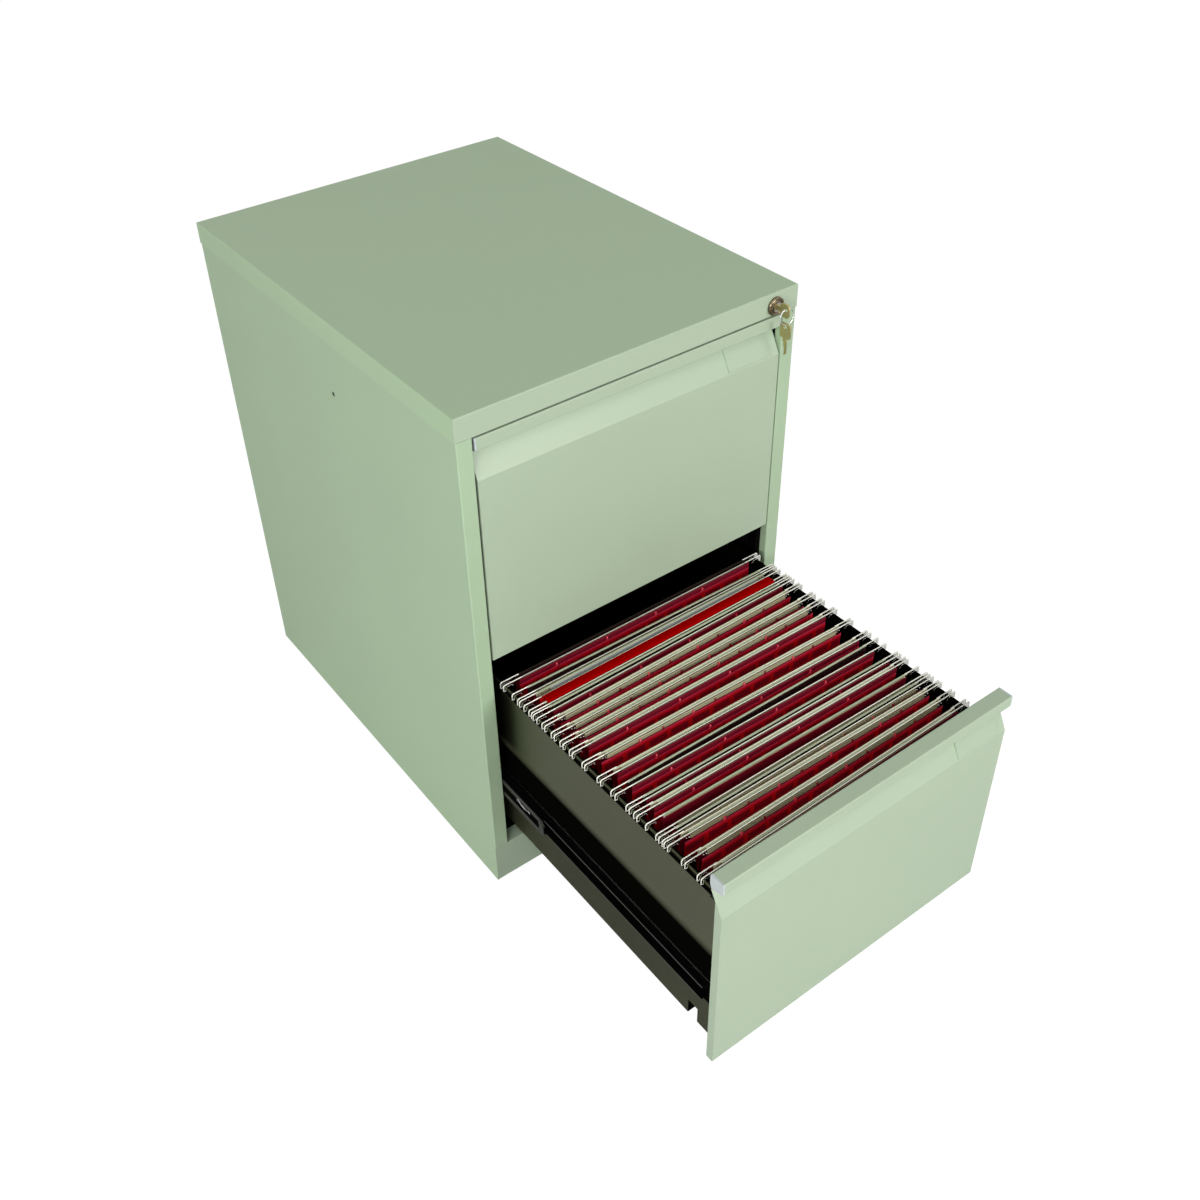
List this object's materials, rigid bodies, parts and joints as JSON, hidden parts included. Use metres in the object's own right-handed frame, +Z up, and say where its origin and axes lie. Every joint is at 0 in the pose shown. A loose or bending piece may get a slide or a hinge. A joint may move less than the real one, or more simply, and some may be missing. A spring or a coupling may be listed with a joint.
{
  "type": "filing cabinet",
  "caption": "Low floor-standing steel filing cabinet with stacked full-width drawers on ball runners, folded pull lips, a top lock with bar, and red suspension files in the open drawer.",
  "frame": {"origin": "on the floor, at the centre of the cabinet's footprint", "axes": "+X to the right, +Y to the back, +Z up; the drawers open towards -Y"},
  "size_m": [0.47, 1.0185, 0.711],
  "materials": {
    "cabinet_paint": "satin pale grey-green",
    "drawer_paint": "semi-gloss black",
    "runner_steel": "black zinc and paint, semi-gloss",
    "ball_steel": "bright steel",
    "end_cap_plastic": "pale bluish white plastic",
    "clear_plastic": "clear plastic",
    "label_card": "pale card",
    "glide_plastic": "black plastic",
    "lock_nickel": "polished nickel",
    "key_brass": "dull brass",
    "file_bar_steel": "bright zinc",
    "folder_card": "deep red card"
  },
  "bodies": {
    "cabinet": {"top_panel": "cabinet_paint", "left_side_panel": "cabinet_paint", "right_side_panel": "cabinet_paint", "back_panel": "cabinet_paint", "base_panel": "cabinet_paint", "front_plinth": "cabinet_paint", "left_front_upright": "cabinet_paint", "right_front_upright": "cabinet_paint", "left_rear_upright": "cabinet_paint", "right_rear_upright": "cabinet_paint", "floor_glides": "glide_plastic", "lock_housing": "lock_nickel", "lock_nut": "lock_nickel", "lock_bar_guides": "runner_steel", "upper_cabinet_runner_left": "runner_steel", "upper_cabinet_runner_right": "runner_steel", "lower_cabinet_runner_left": "runner_steel", "lower_cabinet_runner_right": "runner_steel"},
    "upper_drawer": {"upper_drawer_front": "cabinet_paint", "upper_drawer_front_backing": "drawer_paint", "upper_pull_end_caps": "end_cap_plastic", "upper_drawer_left_side": "drawer_paint", "upper_drawer_right_side": "drawer_paint", "upper_drawer_bottom": "drawer_paint", "upper_drawer_back": "drawer_paint", "upper_drawer_runner_left": "runner_steel", "upper_drawer_runner_right": "runner_steel", "upper_label_holder": "clear_plastic", "upper_label_card": "label_card", "upper_latch_bracket": "runner_steel"},
    "upper_middle_runners": {"upper_middle_runner_left": "runner_steel", "upper_middle_runner_right": "runner_steel"},
    "upper_outer_cages": {"upper_outer_ball_cages": "ball_steel"},
    "upper_inner_cages": {"upper_inner_ball_cages": "ball_steel"},
    "lower_drawer": {"lower_drawer_front": "cabinet_paint", "lower_drawer_front_backing": "drawer_paint", "lower_pull_end_caps": "end_cap_plastic", "lower_drawer_left_side": "drawer_paint", "lower_drawer_right_side": "drawer_paint", "lower_drawer_bottom": "drawer_paint", "lower_drawer_back": "drawer_paint", "lower_drawer_runner_left": "runner_steel", "lower_drawer_runner_right": "runner_steel", "lower_label_holder": "clear_plastic", "lower_label_card": "label_card", "lower_latch_bracket": "runner_steel", "file_bars": "file_bar_steel", "file_folders": "folder_card"},
    "lower_middle_runners": {"lower_middle_runner_left": "runner_steel", "lower_middle_runner_right": "runner_steel"},
    "lower_outer_cages": {"lower_outer_ball_cages": "ball_steel"},
    "lower_inner_cages": {"lower_inner_ball_cages": "ball_steel"},
    "lock_cylinder": {"lock_cylinder": "lock_nickel", "lock_cam": "lock_nickel"},
    "lock_bar": {"lock_bar": "runner_steel"},
    "lock_key": {"lock_key": "key_brass"}
  },
  "joints": [
    {"name": "upper_drawer_slide", "type": "slide", "parent": "cabinet", "child": "upper_drawer", "axis": [0, -1, 0], "range_m": [0, 0.536]},
    {"name": "upper_middle_runners_slide", "type": "slide", "parent": "cabinet", "child": "upper_middle_runners", "axis": [0, -1, 0], "range_m": [0, 0.268]},
    {"name": "upper_outer_cages_slide", "type": "slide", "parent": "cabinet", "child": "upper_outer_cages", "axis": [0, -1, 0], "range_m": [0, 0.134]},
    {"name": "upper_inner_cages_slide", "type": "slide", "parent": "cabinet", "child": "upper_inner_cages", "axis": [0, -1, 0], "range_m": [0, 0.402]},
    {"name": "lower_drawer_slide", "type": "slide", "parent": "cabinet", "child": "lower_drawer", "axis": [0, -1, 0], "range_m": [-0.3965, 0.1395]},
    {"name": "lower_middle_runners_slide", "type": "slide", "parent": "cabinet", "child": "lower_middle_runners", "axis": [0, -1, 0], "range_m": [-0.19825, 0.06975]},
    {"name": "lower_outer_cages_slide", "type": "slide", "parent": "cabinet", "child": "lower_outer_cages", "axis": [0, -1, 0], "range_m": [-0.09913, 0.03488]},
    {"name": "lower_inner_cages_slide", "type": "slide", "parent": "cabinet", "child": "lower_inner_cages", "axis": [0, -1, 0], "range_m": [-0.29738, 0.10462]},
    {"name": "lock_turn", "type": "hinge", "parent": "cabinet", "child": "lock_cylinder", "pos_m": [0.2, -0.311, 0.694], "axis": [0, 1, 0], "range_deg": [0, 90]},
    {"name": "lock_bar_slide", "type": "slide", "parent": "cabinet", "child": "lock_bar", "axis": [0, 0, -1], "range_m": [0, 0.01131]},
    {"name": "key_slide", "type": "slide", "parent": "lock_cylinder", "child": "lock_key", "axis": [0, -1, 0], "range_m": [0, 0.03]}
  ],
  "couplings": [
    {"joint": "upper_middle_runners_slide", "follows": "upper_drawer_slide", "ratio": 0.5},
    {"joint": "upper_outer_cages_slide", "follows": "upper_drawer_slide", "ratio": 0.25},
    {"joint": "upper_inner_cages_slide", "follows": "upper_drawer_slide", "ratio": 0.75},
    {"joint": "lower_middle_runners_slide", "follows": "lower_drawer_slide", "ratio": 0.5},
    {"joint": "lower_outer_cages_slide", "follows": "lower_drawer_slide", "ratio": 0.25},
    {"joint": "lower_inner_cages_slide", "follows": "lower_drawer_slide", "ratio": 0.75},
    {"joint": "lock_turn", "follows": "lock_bar_slide", "rad_per_m": 138.88}
  ]
}
